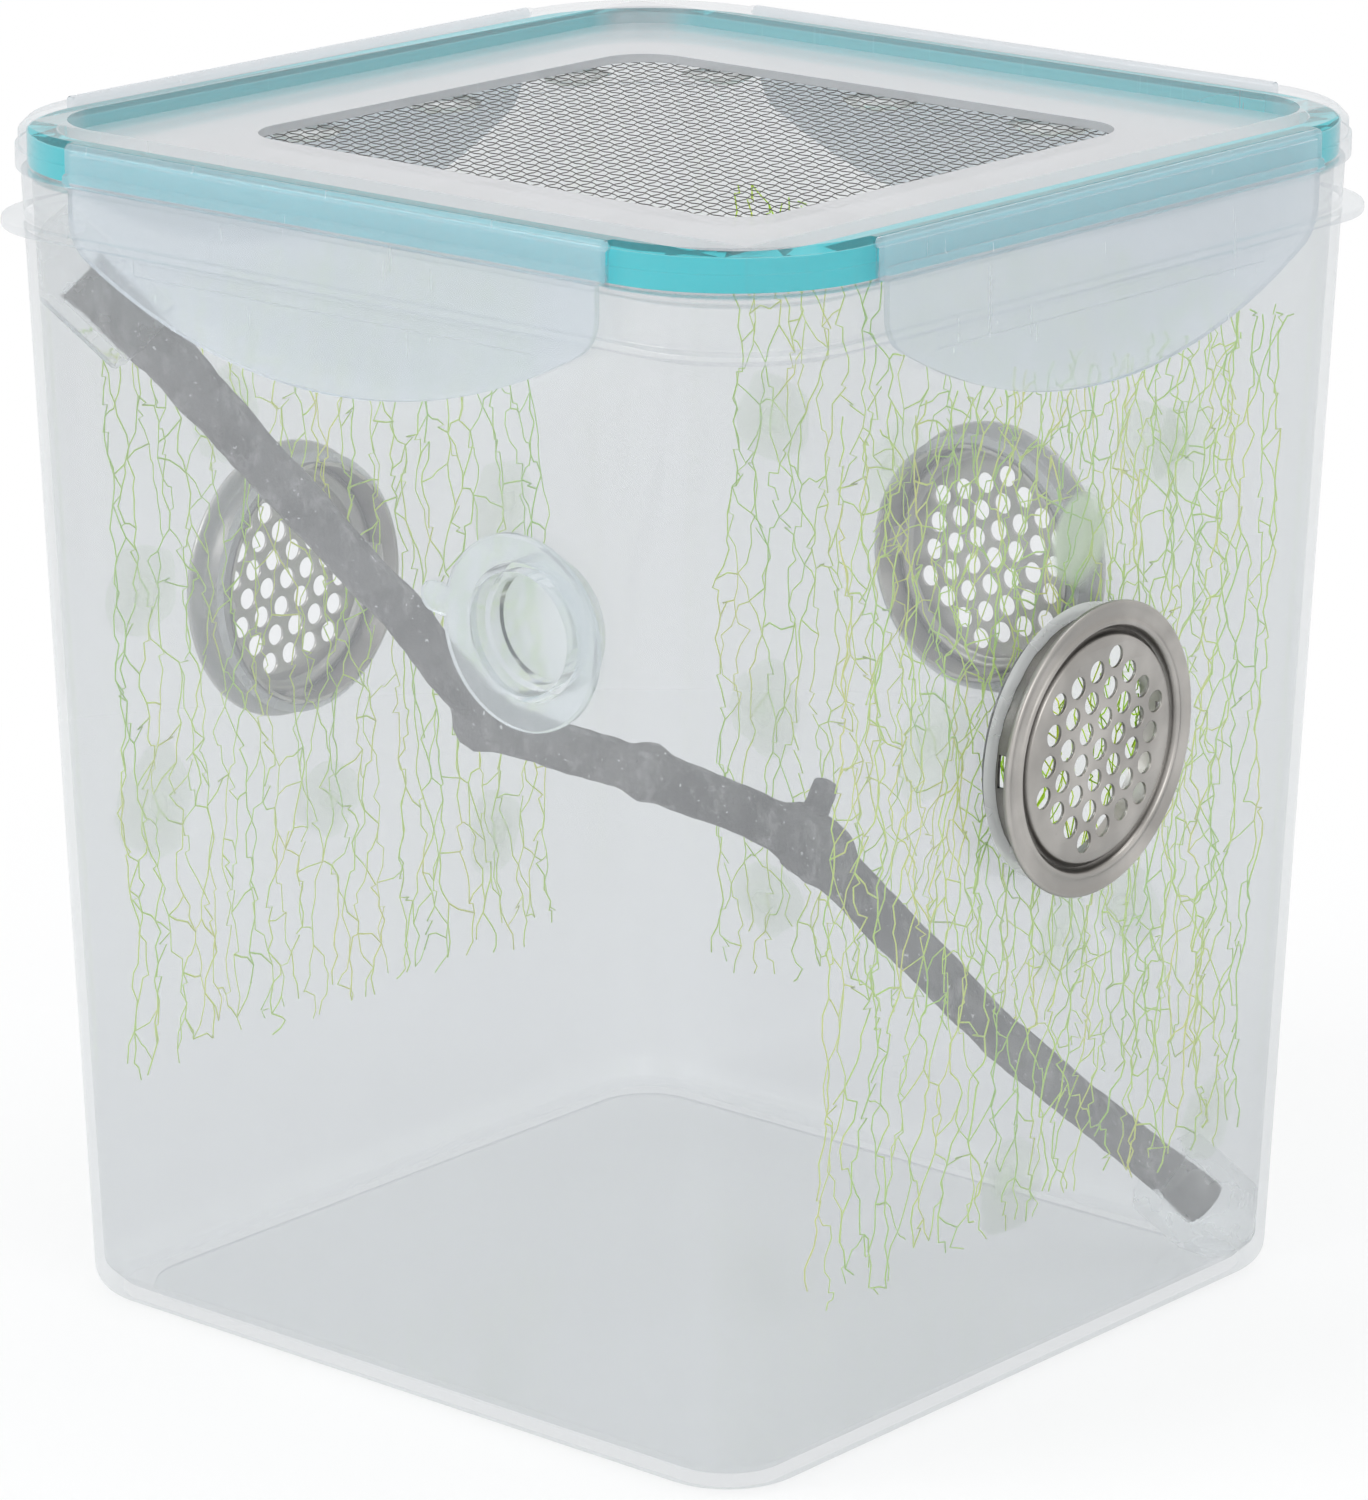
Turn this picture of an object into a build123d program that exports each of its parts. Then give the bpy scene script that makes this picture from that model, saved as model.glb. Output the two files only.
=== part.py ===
from build123d import *
import math
import os

# Insect feeding box: a moulded snap-lid container made into a small rearing cage.
# Millimetres. Origin at the centre of the base, +Z up, +X to the right, -Y the front wall with the
# feeding port. The other three walls carry a vent and a climbing net each.

# Container
base_half = 82.1          # half width over the walls at the floor
wall_lean = 2.4           # degrees by which each wall leans outwards
base_corner = 16.5        # plan radius of the corners at the floor
neck_height = 211.2       # shoulder that the lid comes down to
wall = 1.8                # thickness of the walls
floor_thickness = 2.4
floor_rounding = 5.0      # outside rounding between floor and walls
foot_width = 9.0          # standing ring round the underside
foot_recess = 0.8         # how far the middle of the underside is raised
rim_shoulder = 1.65       # how far the rim stands back from the walls
rim_rise = 4.1            # rim above the shoulder
rim_ease = 2.25           # how much wider the rim's corners are than the walls'
flange_reach = 2.1        # collar flange beyond the walls
flange_drop = 10.2        # underside of the flange below the shoulder
flange_sharpness = 2.9    # how much tighter the flange's corners are than the walls'
flange_thickness = 1.6

# Lid
lid_rise = 4.2            # top of the lid above the container's rim
lid_overhang = 3.6        # upper tier of the skirt beyond the container's rim
lid_bevel = 1.5           # bevel of the top edge between the latches
skirt_bead = 0.6          # how far the lower tier stands proud
skirt_gap = 0.5           # skirt's edge above the shoulder
skirt_tier_height = 3.8   # height of the lower tier
skirt_thickness = 1.5
rim_plate = 1.6           # thickness of the rim's top
lid_band = 10.9           # width of the raised rim round the sunk panel
recess_corner = 15.0
recess_depth = 3.3
panel_thickness = 1.6
step_wall = 1.6           # upright wall between panel and rim
window_length = 117.0     # along X
window_width = 110.0      # along Y
window_corner = 10.0

# Seal in the rim channel
seal_web = 2.3
seal_gap = 0.1            # play between the seal and the walls of its channel
seal_lift = 0.3           # how far the seal's legs stay above the skirt's edge
rim_gap = 0.35            # play between the container's rim and the seal

# Latches
latch_corner_gap = 0.2    # from the hinge band to the start of the lid's corner
latch_end_gap = 0.4
hinge_radius = 1.0        # radius of the hinge bead
hinge_gap = 0.1           # running gap round the bead
band_thickness = 1.2
latch_gap = 0.3           # between the latch and what it hangs over
rib_rise = 1.6            # middle of the stiffening rib above the skirt's edge
rib_width = 2.6
rib_proud = 0.9
rib_bevel = 0.4
flap_inset = 1.0          # how far the flap's ends stand in from the hinge band's
flap_thickness = 1.3
flap_shoulder_rise = 1.0  # where the flap's ends turn into its bow, above the flange's underside
flap_bow = 17.2           # depth of the bow
flap_corner = 8.0
catch_inset = 14.5        # how far the catch's ends stand in from the flap's
catch_depth = 2.4         # height of the catch ridge under the flange
latch_angles = {"right": 0, "back": 90, "left": 180, "front": 270}

# Vents
vent_skirt_radius = 23.0
vent_flange = 3.5         # how far the rolled edge reaches beyond the skirt
vent_ridge = 2.0          # width of the grooved ring between panel and skirt
vent_sheet = 0.7
vent_proud = 6.6          # from the wall to the vent's face
vent_lip = 1.3            # thickness of the rolled edge
vent_panel_drop = 0.3     # the panel lies a little under the flange
vent_groove_depth = 1.0
vent_hole_radius = 2.15   # over the corners of the six-sided punch
vent_hole_sides = 6
vent_hole_pitch = 5.5
vent_hole_rows = 7
vent_wall_gap = 0.3
vent_slot_width = 6.0
vent_slot_height = 3.6
vent_slots = 4
vent_slot_cut = 2.8       # across the skirt
vent_height = 119.5
vent_angles = {"right": 0, "back": 90, "left": 180}
vent_shift = {"right": 1.0, "back": 1.0, "left": 7.5}   # sideways along the wall, seen from outside
vent_turn = {"right": -11, "back": 8, "left": 20}       # degrees by which each hole pattern is turned
vent_glue_reach = 2.2
vent_glue_sides = 24

# Feeding port and plug
port_angle = 270
port_shift = 39.5
port_height = 149.0
plug_brim = 5.1           # how far the disc reaches beyond the cup
plug_disc = 1.4
plug_bevel = 0.45
plug_tab = 0.9            # thickness of the pull tab
plug_cup_radius = 12.1
plug_cup_depth = 7.0
plug_wall = 1.3
plug_step = 1.2           # ledge inside the cup
plug_step_depth = 2.4
plug_bore_gap = 0.3
plug_seat_gap = 0.1
plug_tab_width = 5.4
plug_tab_length = 5.4     # beyond the disc
plug_tab_angle = 171

# Climbing nets, each with its distances from the wall's corners at its left and right, seen from
# outside, from the base and from the shoulder
net_margins = {
    "right": (3.6, 3.6, 28.0, 21.2),
    "back": (5.6, 3.6, 26.0, 25.2),
    "left": (8.6, 2.6, 34.0, 25.2),
}
net_sheet = 0.4
net_columns = 7
net_rows = 4
net_strand = 1.2          # width of a strand
net_wander = 0.26         # how far the knots wander, as a share of a cell
lay_gap = 0.05            # keeps pieces that lie on each other apart

# Glue patches on the nets: along the wall, height, radius
net_glue = {
    "right": ((4, 155, 9), (-36, 127, 10), (4, 82, 8), (-7, 39, 9), (52, 35, 8), (32, 166, 9), (-50, 178, 8)),
    "back": ((50, 140, 9), (50, 82, 9), (48, 43, 8), (-40, 150, 8), (-40, 60, 8)),
    "left": ((53, 127, 9), (53, 87, 10), (7, 77, 8), (-46, 125, 9), (30, 156, 9), (-40, 60, 8)),
}
net_glue_thickness = 1.2
glue_sides = 10
glue_slope = 40           # degrees by which the sides of a blob lean in

# Mesh under the window
mesh_overlap = 8.0
mesh_sheet = 0.5
mesh_pitch = 20.0
mesh_strand = 1.0
lid_glue_radius = 7.0
lid_glue_thickness = 1.8
lid_glue_inset = 1.0
lid_glue_per_side = 3

# Climbing stick, in the upright plane through two opposite corners: share of the way from its upper
# end to its lower end, distance above the straight line between them, radius
stick_stations = (
    (0.000, 0.0, 5.2),
    (0.082, -1.5, 4.9),
    (0.207, -6.6, 4.4),
    (0.304, -10.1, 4.2),
    (0.367, -13.7, 4.7),
    (0.397, -16.4, 6.3),
    (0.419, -14.3, 5.0),
    (0.475, -7.3, 4.7),
    (0.503, -3.9, 6.0),
    (0.535, -1.8, 5.2),
    (0.580, 2.4, 4.4),
    (0.609, 5.4, 6.2),
    (0.632, 4.9, 7.4),
    (0.663, 3.7, 5.0),
    (0.811, -0.3, 4.3),
    (0.923, -0.3, 4.1),
    (0.970, 0.3, 4.3),
    (1.000, 0.0, 4.6),
)
stick_top_drop = 19.7     # upper end below the shoulder
stick_top_gap = 9.3       # upper end from the wall's outer corner, along the diagonal
stick_foot_height = 10.9
stick_foot_gap = 11.7
stub_share = 0.613        # foot of the broken side stub
stub_offset = 7.0
stub_lean = 20            # degrees from upright
stub_length = 9.5
stub_radius = 2.6
stick_sides = 9           # bark facets round the stick

# Glue at the ends of the stick: length along the stick, reach beyond its end, radius
top_glue = (16.0, 10.0, 8.4)
bottom_glue = (10.0, 12.0, 9.6)
stick_glue_gap = 0.3


# Sizes worked out from the ones above
lean_slope = math.tan(math.radians(wall_lean))
lean_cos = math.cos(math.radians(wall_lean))


def wall_half(z):
    """Half width over the outside of the walls at height z."""
    return base_half + lean_slope * z


def corner_radius(z):
    """Plan radius of the container's corners at height z."""
    return base_corner + lean_slope * z


wall_across = wall / lean_cos
cavity_top = neck_height - wall
rim_half = wall_half(neck_height) - rim_shoulder
rim_corner = corner_radius(neck_height) + rim_ease
rim_height = neck_height + rim_rise
flange_bottom = neck_height - flange_drop
flange_half = wall_half(flange_bottom) + flange_reach
flange_corner = corner_radius(flange_bottom) - flange_sharpness
lid_half = rim_half + lid_overhang
lid_corner = rim_corner + lid_overhang
lid_height = rim_height + lid_rise
skirt_bottom = neck_height + skirt_gap
skirt_tier = skirt_bottom + skirt_tier_height
recess_half = lid_half - lid_band
channel_top = lid_height - rim_plate
channel_outer = lid_half - skirt_thickness
channel_outer_corner = lid_corner - skirt_thickness
channel_inner = recess_half + step_wall
channel_inner_corner = recess_corner + step_wall
panel_top = lid_height - recess_depth
panel_bottom = panel_top - panel_thickness
latch_seat = lid_half - latch_gap
latch_half = lid_half - lid_corner - latch_corner_gap
flap_half = latch_half - flap_inset
catch_half = flap_half - catch_inset
rib_height = skirt_bottom + rib_rise
flap_shoulder = flange_bottom + flap_shoulder_rise
flap_tip = flap_shoulder - flap_bow
latch_slot_half = latch_half + latch_end_gap
band_inner = lid_half
band_outer = band_inner + band_thickness
hinge_out = band_outer - hinge_radius
hinge_height = lid_height - hinge_radius
catch_inner = flange_half + latch_gap
flap_inner = catch_inner + latch_gap
rib_outer = band_outer + rib_proud
vent_radius = vent_skirt_radius + vent_flange
vent_panel_radius = vent_skirt_radius - vent_ridge
plug_disc_radius = plug_cup_radius + plug_brim
mesh_top = panel_bottom - lay_gap
glue_top = mesh_top - mesh_sheet - lay_gap


def outward(angle):
    """Horizontal direction out of the wall that faces angle."""
    return Vector(math.cos(math.radians(angle)), math.sin(math.radians(angle)), 0)


def along(angle):
    """Horizontal direction to the right along that wall, seen from outside."""
    return Vector(-math.sin(math.radians(angle)), math.cos(math.radians(angle)), 0)


def wall_plane(angle, shift, height):
    """Plane on the outside of a leaning wall, +Z out of the wall and +Y up it."""
    normal = outward(angle) * lean_cos - Vector(0, 0, lean_slope * lean_cos)
    centre = outward(angle) * wall_half(height) + along(angle) * shift + Vector(0, 0, height)
    return Plane(origin=centre, x_dir=along(angle), z_dir=normal)


def radial_plane(face):
    """Plane across a wall's fitting: x along the wall, y out of it."""
    return Plane(origin=face.origin, x_dir=face.x_dir, z_dir=-face.y_dir)


def section_plane(angle):
    """Upright plane across the middle of a wall: x outwards, y up."""
    return Plane(origin=(0, 0, 0), x_dir=outward(angle), z_dir=-along(angle))


def facing_plane(angle, out):
    """Upright plane in front of a wall at a distance from the middle: x along the wall, y up."""
    return Plane(origin=outward(angle) * out, x_dir=along(angle), z_dir=outward(angle))


def rounded_square(half, radius, mode=Mode.ADD):
    """Outline that the container, seal and lid share."""
    RectangleRounded(2 * half, 2 * half, radius, mode=mode)


os.makedirs("parts", exist_ok=True)

# Space inside the container
with BuildPart() as cavity:
    with BuildSketch(Plane.XY.offset(cavity_top)):
        rounded_square(wall_half(cavity_top) - wall_across, corner_radius(cavity_top) - wall_across)
    extrude(amount=floor_thickness - cavity_top, taper=wall_lean)
    chamfer(cavity.faces().sort_by(Axis.Z)[0].edges(), floor_rounding - wall)

# Container
with BuildPart() as container:
    with BuildSketch(Plane.XY):
        rounded_square(base_half, base_corner)
    extrude(amount=neck_height, taper=-wall_lean)
    fillet(container.faces().sort_by(Axis.Z)[0].edges(), floor_rounding)
    with BuildSketch(Plane.XY.offset(flange_bottom)):
        rounded_square(flange_half, flange_corner)
    extrude(amount=flange_thickness)
    with BuildSketch(Plane.XY.offset(neck_height)):
        rounded_square(rim_half, rim_corner)
    extrude(amount=rim_height - neck_height)
    add(cavity.part, mode=Mode.SUBTRACT)
    with BuildSketch(Plane.XY.offset(cavity_top)):
        rounded_square(rim_half - wall, rim_corner - wall)
    extrude(amount=rim_height - cavity_top, mode=Mode.SUBTRACT)
    with BuildSketch(Plane.XY):
        rounded_square(base_half - foot_width, base_corner - foot_width / 2)
    extrude(amount=foot_recess, mode=Mode.SUBTRACT)
    for side, angle in vent_angles.items():
        with BuildSketch(wall_plane(angle, vent_shift[side], vent_height).offset(vent_proud)):
            Circle(vent_skirt_radius + vent_wall_gap)
        extrude(amount=-vent_proud - 2 * wall, mode=Mode.SUBTRACT)
    with BuildSketch(wall_plane(port_angle, port_shift, port_height).offset(wall)):
        Circle(plug_cup_radius + plug_bore_gap)
    extrude(amount=-3 * wall, mode=Mode.SUBTRACT)
container.part.label = "container"
export_step(container.part, "parts/container.step")

# Seal, two legs that straddle the container's rim and a web over it
seal_bottom = skirt_bottom + seal_lift
with BuildPart() as seal_ring:
    with BuildSketch(Plane.XY.offset(seal_bottom)):
        rounded_square(channel_outer - seal_gap, channel_outer_corner - seal_gap)
        rounded_square(channel_inner + seal_gap, channel_inner_corner + seal_gap, Mode.SUBTRACT)
    extrude(amount=channel_top - seal_bottom)
    with BuildSketch(Plane.XY.offset(seal_bottom)):
        rounded_square(rim_half + rim_gap, rim_corner + rim_gap)
        rounded_square(rim_half - wall - rim_gap, rim_corner - wall - rim_gap, Mode.SUBTRACT)
    extrude(amount=channel_top - seal_web - seal_bottom, mode=Mode.SUBTRACT)
seal_ring.part.label = "seal_ring"
export_step(seal_ring.part, "parts/seal_ring.step")

# Lid
with BuildPart() as lid:
    with BuildSketch(Plane.XY.offset(skirt_bottom)):
        rounded_square(lid_half, lid_corner)
    extrude(amount=lid_height - skirt_bottom)
    chamfer(lid.faces().sort_by(Axis.Z)[-1].edges(), lid_bevel)
    with BuildSketch(Plane.XY.offset(skirt_bottom)):
        rounded_square(lid_half + skirt_bead, lid_corner + skirt_bead)
    extrude(amount=skirt_tier - skirt_bottom)
    for angle in latch_angles.values():
        with BuildSketch(section_plane(angle)):
            with Locations((lid_half - lid_bevel / 2, lid_height - lid_bevel / 2)):
                Rectangle(lid_bevel, lid_bevel)
        extrude(amount=latch_slot_half, both=True)
    with BuildSketch(Plane.XY.offset(skirt_bottom)):
        rounded_square(channel_outer, channel_outer_corner)
        rounded_square(channel_inner, channel_inner_corner, Mode.SUBTRACT)
    extrude(amount=channel_top - skirt_bottom, mode=Mode.SUBTRACT)
    with BuildSketch(Plane.XY.offset(skirt_bottom)):
        rounded_square(channel_inner, channel_inner_corner)
    extrude(amount=panel_bottom - skirt_bottom, mode=Mode.SUBTRACT)
    with BuildSketch(Plane.XY.offset(lid_height)):
        rounded_square(recess_half, recess_corner)
    extrude(amount=-recess_depth, mode=Mode.SUBTRACT)
    with BuildSketch(Plane.XY.offset(panel_bottom)):
        RectangleRounded(window_length, window_width, window_corner)
    extrude(amount=panel_thickness, mode=Mode.SUBTRACT)
    for angle in latch_angles.values():
        with BuildSketch(section_plane(angle)):
            with Locations((latch_seat + lid_half / 2, (skirt_bottom + hinge_height) / 2)):
                Rectangle(lid_half, hinge_height - skirt_bottom)
            with Locations((hinge_out, hinge_height)):
                Circle(hinge_radius + hinge_gap)
        extrude(amount=latch_slot_half, both=True, mode=Mode.SUBTRACT)
lid.part.label = "lid"
export_step(lid.part, "parts/lid.step")


def build_latch(angle):
    """One snap flap: hinge bead, hinge band, rib, bowed flap and the catch on its back."""
    with BuildPart() as latch:
        with BuildSketch(section_plane(angle)):
            with Locations((hinge_out, hinge_height)):
                Circle(hinge_radius)
            with Locations(((band_inner + band_outer) / 2, (hinge_height + rib_height) / 2)):
                Rectangle(band_thickness, hinge_height - rib_height)
        extrude(amount=latch_half, both=True)
        with BuildSketch(facing_plane(angle, flap_inner)) as flap:
            with BuildLine():
                Line((-flap_half, flap_shoulder), (-flap_half, rib_height))
                Line((-flap_half, rib_height), (flap_half, rib_height))
                Line((flap_half, rib_height), (flap_half, flap_shoulder))
                ThreePointArc((flap_half, flap_shoulder), (0, flap_tip), (-flap_half, flap_shoulder))
            make_face()
            fillet(flap.vertices().sort_by(Axis.Y)[:2], flap_corner)
        extrude(amount=flap_thickness)
        with BuildSketch(facing_plane(angle, band_inner)):
            with Locations((0, rib_height)):
                SlotOverall(2 * flap_half + rib_width, rib_width)
        extrude(amount=rib_outer - band_inner)
        chamfer(latch.faces().sort_by(Axis(origin=(0, 0, 0), direction=outward(angle)))[-1].edges(), rib_bevel)
        with BuildSketch(facing_plane(angle, catch_inner)):
            with Locations((0, flange_bottom - latch_gap - catch_depth / 2)):
                Rectangle(2 * catch_half, catch_depth)
        extrude(amount=flap_inner - catch_inner)
    return latch


for side, angle in latch_angles.items():
    latch = build_latch(angle)
    latch.part.label = f"latch_{side}"
    export_step(latch.part, f"parts/latch_{side}.step")


def hole_places():
    """Centres of the vent's holes, in rows of 4, 5, 6, 7, 6, 5 and 4 on a triangular grid."""
    middle = vent_hole_rows // 2
    for row in range(-middle, middle + 1):
        count = vent_hole_rows - abs(row)
        for column in range(count):
            across = (column - (count - 1) / 2) * vent_hole_pitch
            yield (row * vent_hole_pitch * math.sin(math.radians(60)), across)


def build_vent(angle, shift, turn):
    """One pressed vent: rolled edge, flange, groove, panel with holes and a slotted skirt."""
    face = wall_plane(angle, shift, vent_height)
    panel = vent_proud - vent_panel_drop
    skirt_inner = vent_skirt_radius - vent_sheet
    groove_middle = (vent_panel_radius + vent_skirt_radius) / 2
    with BuildPart() as vent:
        with BuildSketch(radial_plane(face)):
            with BuildLine():
                Polyline(
                    (0, panel),
                    (vent_panel_radius, panel),
                    (groove_middle, panel - vent_groove_depth),
                    (vent_skirt_radius, vent_proud),
                    (vent_radius, vent_proud),
                    (vent_radius, vent_proud - vent_lip),
                    (vent_skirt_radius, vent_proud - vent_lip),
                    (vent_skirt_radius, -wall),
                    (skirt_inner, -wall),
                    (skirt_inner, panel - vent_groove_depth - vent_sheet),
                    (vent_panel_radius - vent_sheet, panel - vent_sheet),
                    (0, panel - vent_sheet),
                    close=True,
                )
            make_face()
        revolve(axis=Axis(origin=face.origin, direction=face.z_dir))
        with BuildSketch(face.offset(vent_proud)):
            with Locations(Location((0, 0, 0), (0, 0, turn))):
                with Locations(*hole_places()):
                    RegularPolygon(vent_hole_radius, vent_hole_sides)
        extrude(amount=-vent_proud, mode=Mode.SUBTRACT)
        with BuildSketch(face.offset(vent_proud / 2)):
            with PolarLocations(vent_skirt_radius, vent_slots):
                Rectangle(vent_slot_cut, vent_slot_width)
        extrude(amount=vent_slot_height / 2, both=True, mode=Mode.SUBTRACT)
    return vent.part


# The three vents are one group, on three walls
vent_solids = [build_vent(angle, vent_shift[side], vent_turn[side]) for side, angle in vent_angles.items()]
with BuildPart() as vents:
    add(vent_solids)
vents.part.label = "vents"
export_step(vents.part, "parts/vents.step")

# Glue in the corner between each vent's skirt and the wall
glue_apothem = vent_skirt_radius + lay_gap
with BuildPart() as vent_glue:
    for side, angle in vent_angles.items():
        face = wall_plane(angle, vent_shift[side], vent_height)
        with BuildSketch(face.offset(lay_gap)):
            RegularPolygon(glue_apothem + vent_glue_reach, vent_glue_sides, major_radius=False)
        extrude(amount=vent_glue_reach)
        with BuildSketch(face):
            RegularPolygon(glue_apothem, vent_glue_sides, major_radius=False)
        extrude(amount=vent_proud, mode=Mode.SUBTRACT)
vent_glue.part.label = "vent_glue"
export_step(vent_glue.part, "parts/vent_glue.step")

# Feeding plug: a flat disc with a pull tab, and a cup that enters the port
port_face = wall_plane(port_angle, port_shift, port_height)
plug_seat = port_face.offset(plug_seat_gap)
cup_inner = plug_cup_radius - plug_wall
with BuildPart() as feeding_plug:
    with BuildSketch(plug_seat):
        Circle(plug_disc_radius)
    extrude(amount=plug_disc)
    chamfer(feeding_plug.faces().sort_by(Axis(port_face.origin, port_face.z_dir))[-1].edges(), plug_bevel)
    with BuildSketch(plug_seat):
        with PolarLocations(plug_disc_radius, 1, plug_tab_angle):
            SlotOverall(2 * plug_tab_length, plug_tab_width)
    extrude(amount=plug_tab)
    with BuildSketch(plug_seat):
        Circle(plug_cup_radius)
    extrude(amount=-plug_cup_depth)
    with BuildSketch(plug_seat.offset(plug_disc)):
        Circle(cup_inner)
    extrude(amount=-plug_disc - plug_step_depth, mode=Mode.SUBTRACT)
    with BuildSketch(plug_seat.offset(plug_disc)):
        Circle(cup_inner - plug_step)
    extrude(amount=plug_wall - plug_disc - plug_cup_depth, mode=Mode.SUBTRACT)
feeding_plug.part.label = "feeding_plug"
export_step(feeding_plug.part, "parts/feeding_plug.step")


net_last_column = 2 * net_columns + 1
net_last_row = 2 * net_rows + 2


def net_knot(column, row, corner, cell):
    """One knot of a net, off its even place by a wander that dies away at the net's edges."""
    sway = math.sin(2.9 * column + 1.7 * row) * math.sin(math.pi * column / net_last_column)
    lift = math.sin(1.3 * column - 2.3 * row) * math.sin(math.pi * row / net_last_row)
    across = (column + sway * net_wander) * cell.X
    up = (row + lift * net_wander) * cell.Y
    return Vector(corner.X + across, corner.Y + up)


def net_gaps(corner, cell):
    """Outlines of the gaps between a net's strands, tall diamonds in staggered rows."""
    keep = 1 - net_strand / (2 * cell.X)
    for column in range(1, net_last_column):
        for row in range(1 + (column + 1) % 2, net_last_row, 2):
            knots = [
                net_knot(column - 1, row, corner, cell),
                net_knot(column, row + 1, corner, cell),
                net_knot(column + 1, row, corner, cell),
                net_knot(column, row - 1, corner, cell),
            ]
            middle = sum(knots, Vector()) / 4
            yield Wire.make_polygon([middle + (knot - middle) * keep for knot in knots], close=True)


def net_edges(side):
    """Left, right, bottom and top of a net along its wall."""
    left, right, bottom, top = net_margins[side]
    flat_half = base_half - base_corner
    return left - flat_half, flat_half - right, bottom, neck_height - top


def net_face(left, right, bottom, top):
    """Flat face of a net with its gaps, drawn about the net's mid height."""
    half = (top - bottom) / 2
    corner = Vector(left, -half)
    cell = Vector((right - left) / net_last_column, 2 * half / net_last_row)
    edge = Wire.make_polygon([(left, -half), (right, -half), (right, half), (left, half)], close=True)
    return Face(edge, list(net_gaps(corner, cell)))


for side, angle in vent_angles.items():
    left, right, bottom, top = net_edges(side)
    holed_face = net_face(left, right, bottom, top)
    with BuildPart() as net:
        with BuildSketch(wall_plane(angle, 0, (bottom + top) / 2).offset(-wall - lay_gap)):
            add(holed_face)
        extrude(amount=-net_sheet)
    net.part.label = f"net_{side}"
    export_step(net.part, f"parts/net_{side}.step")


def glue_outline(radius, phase):
    """Corners of an uneven round blob."""
    for step in range(glue_sides):
        turn = 2 * math.pi * step / glue_sides
        reach = radius * (1 + 0.14 * math.sin(2 * turn + phase) + 0.07 * math.sin(3 * turn - phase))
        yield (reach * math.cos(turn), reach * math.sin(turn))


def glue_blob(plane, radius, thickness, slope, phase):
    """One flattened blob of glue behind a plane."""
    with BuildPart() as blob:
        with BuildSketch(plane):
            with BuildLine():
                Polyline(*glue_outline(radius, phase), close=True)
            make_face()
        extrude(amount=-thickness, taper=slope)
    return blob.part


def net_glue_blobs(side, angle):
    """The glue patches on one net."""
    for number, (shift, height, radius) in enumerate(net_glue[side]):
        inside = wall_plane(angle, shift, height).offset(-wall - lay_gap - net_sheet - lay_gap)
        yield glue_blob(inside, radius, net_glue_thickness, glue_slope, number)


for side, angle in vent_angles.items():
    blobs = list(net_glue_blobs(side, angle))
    with BuildPart() as patches:
        add(blobs)
    patches.part.label = f"net_glue_{side}"
    export_step(patches.part, f"parts/net_glue_{side}.step")

# Mesh under the window
mesh_columns = int(window_length // mesh_pitch)
mesh_rows = int(window_width // mesh_pitch)
mesh_gap_side = mesh_pitch / math.sqrt(2) - mesh_strand
with BuildPart() as lid_mesh:
    with BuildSketch(Plane.XY.offset(mesh_top)):
        RectangleRounded(window_length + 2 * mesh_overlap, window_width + 2 * mesh_overlap, window_corner)
        with GridLocations(mesh_pitch, mesh_pitch, mesh_columns, mesh_rows):
            Rectangle(mesh_gap_side, mesh_gap_side, rotation=45, mode=Mode.SUBTRACT)
        with GridLocations(mesh_pitch, mesh_pitch, mesh_columns - 1, mesh_rows - 1):
            Rectangle(mesh_gap_side, mesh_gap_side, rotation=45, mode=Mode.SUBTRACT)
    extrude(amount=-mesh_sheet)
lid_mesh.part.label = "lid_mesh"
export_step(lid_mesh.part, "parts/lid_mesh.step")


def lid_glue_pads():
    """The glue pads that hold the mesh round the window."""
    for quarter in range(4):
        across, length = (window_length, window_width) if quarter % 2 == 0 else (window_width, window_length)
        for number in range(lid_glue_per_side):
            shift = (number - (lid_glue_per_side - 1) / 2) * length / lid_glue_per_side
            spot = outward(90 * quarter) * (across / 2 + lid_glue_inset) + along(90 * quarter) * shift
            place = Plane.XY.offset(glue_top).move(Location(spot))
            yield glue_blob(place, lid_glue_radius, lid_glue_thickness, 0, quarter + number)


pads = list(lid_glue_pads())
with BuildPart() as lid_glue:
    add(pads)
lid_glue.part.label = "lid_glue"
export_step(lid_glue.part, "parts/lid_glue.step")

# Climbing stick
diagonal = Vector(1, 1, 0).normalized()
level = Vector(1, -1, 0).normalized()


def corner_reach(height):
    """How far the walls' outer corners are from the middle, along the diagonal."""
    return wall_half(height) * math.sqrt(2) - corner_radius(height) * (math.sqrt(2) - 1)


stick_top_height = neck_height - stick_top_drop
stick_top = diagonal * (stick_top_gap - corner_reach(stick_top_height)) + Vector(0, 0, stick_top_height)
stick_foot = diagonal * (corner_reach(stick_foot_height) - stick_foot_gap) + Vector(0, 0, stick_foot_height)
stick_run = stick_foot - stick_top
stick_above = level.cross(stick_run).normalized()


def stick_place(share, offset):
    """Point beside the straight line between the stick's ends."""
    return stick_top + stick_run * share + stick_above * offset


stick_points = [stick_place(share, offset) for share, offset, radius in stick_stations]


def stick_heading(number):
    """Direction of the stick at one of its stations."""
    before = stick_points[max(number - 1, 0)]
    after = stick_points[min(number + 1, len(stick_points) - 1)]
    return (after - before).normalized()


def stick_plane(point, heading):
    """Plane across the stick, its x axis level."""
    return Plane(origin=point, x_dir=level, z_dir=heading)


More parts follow.
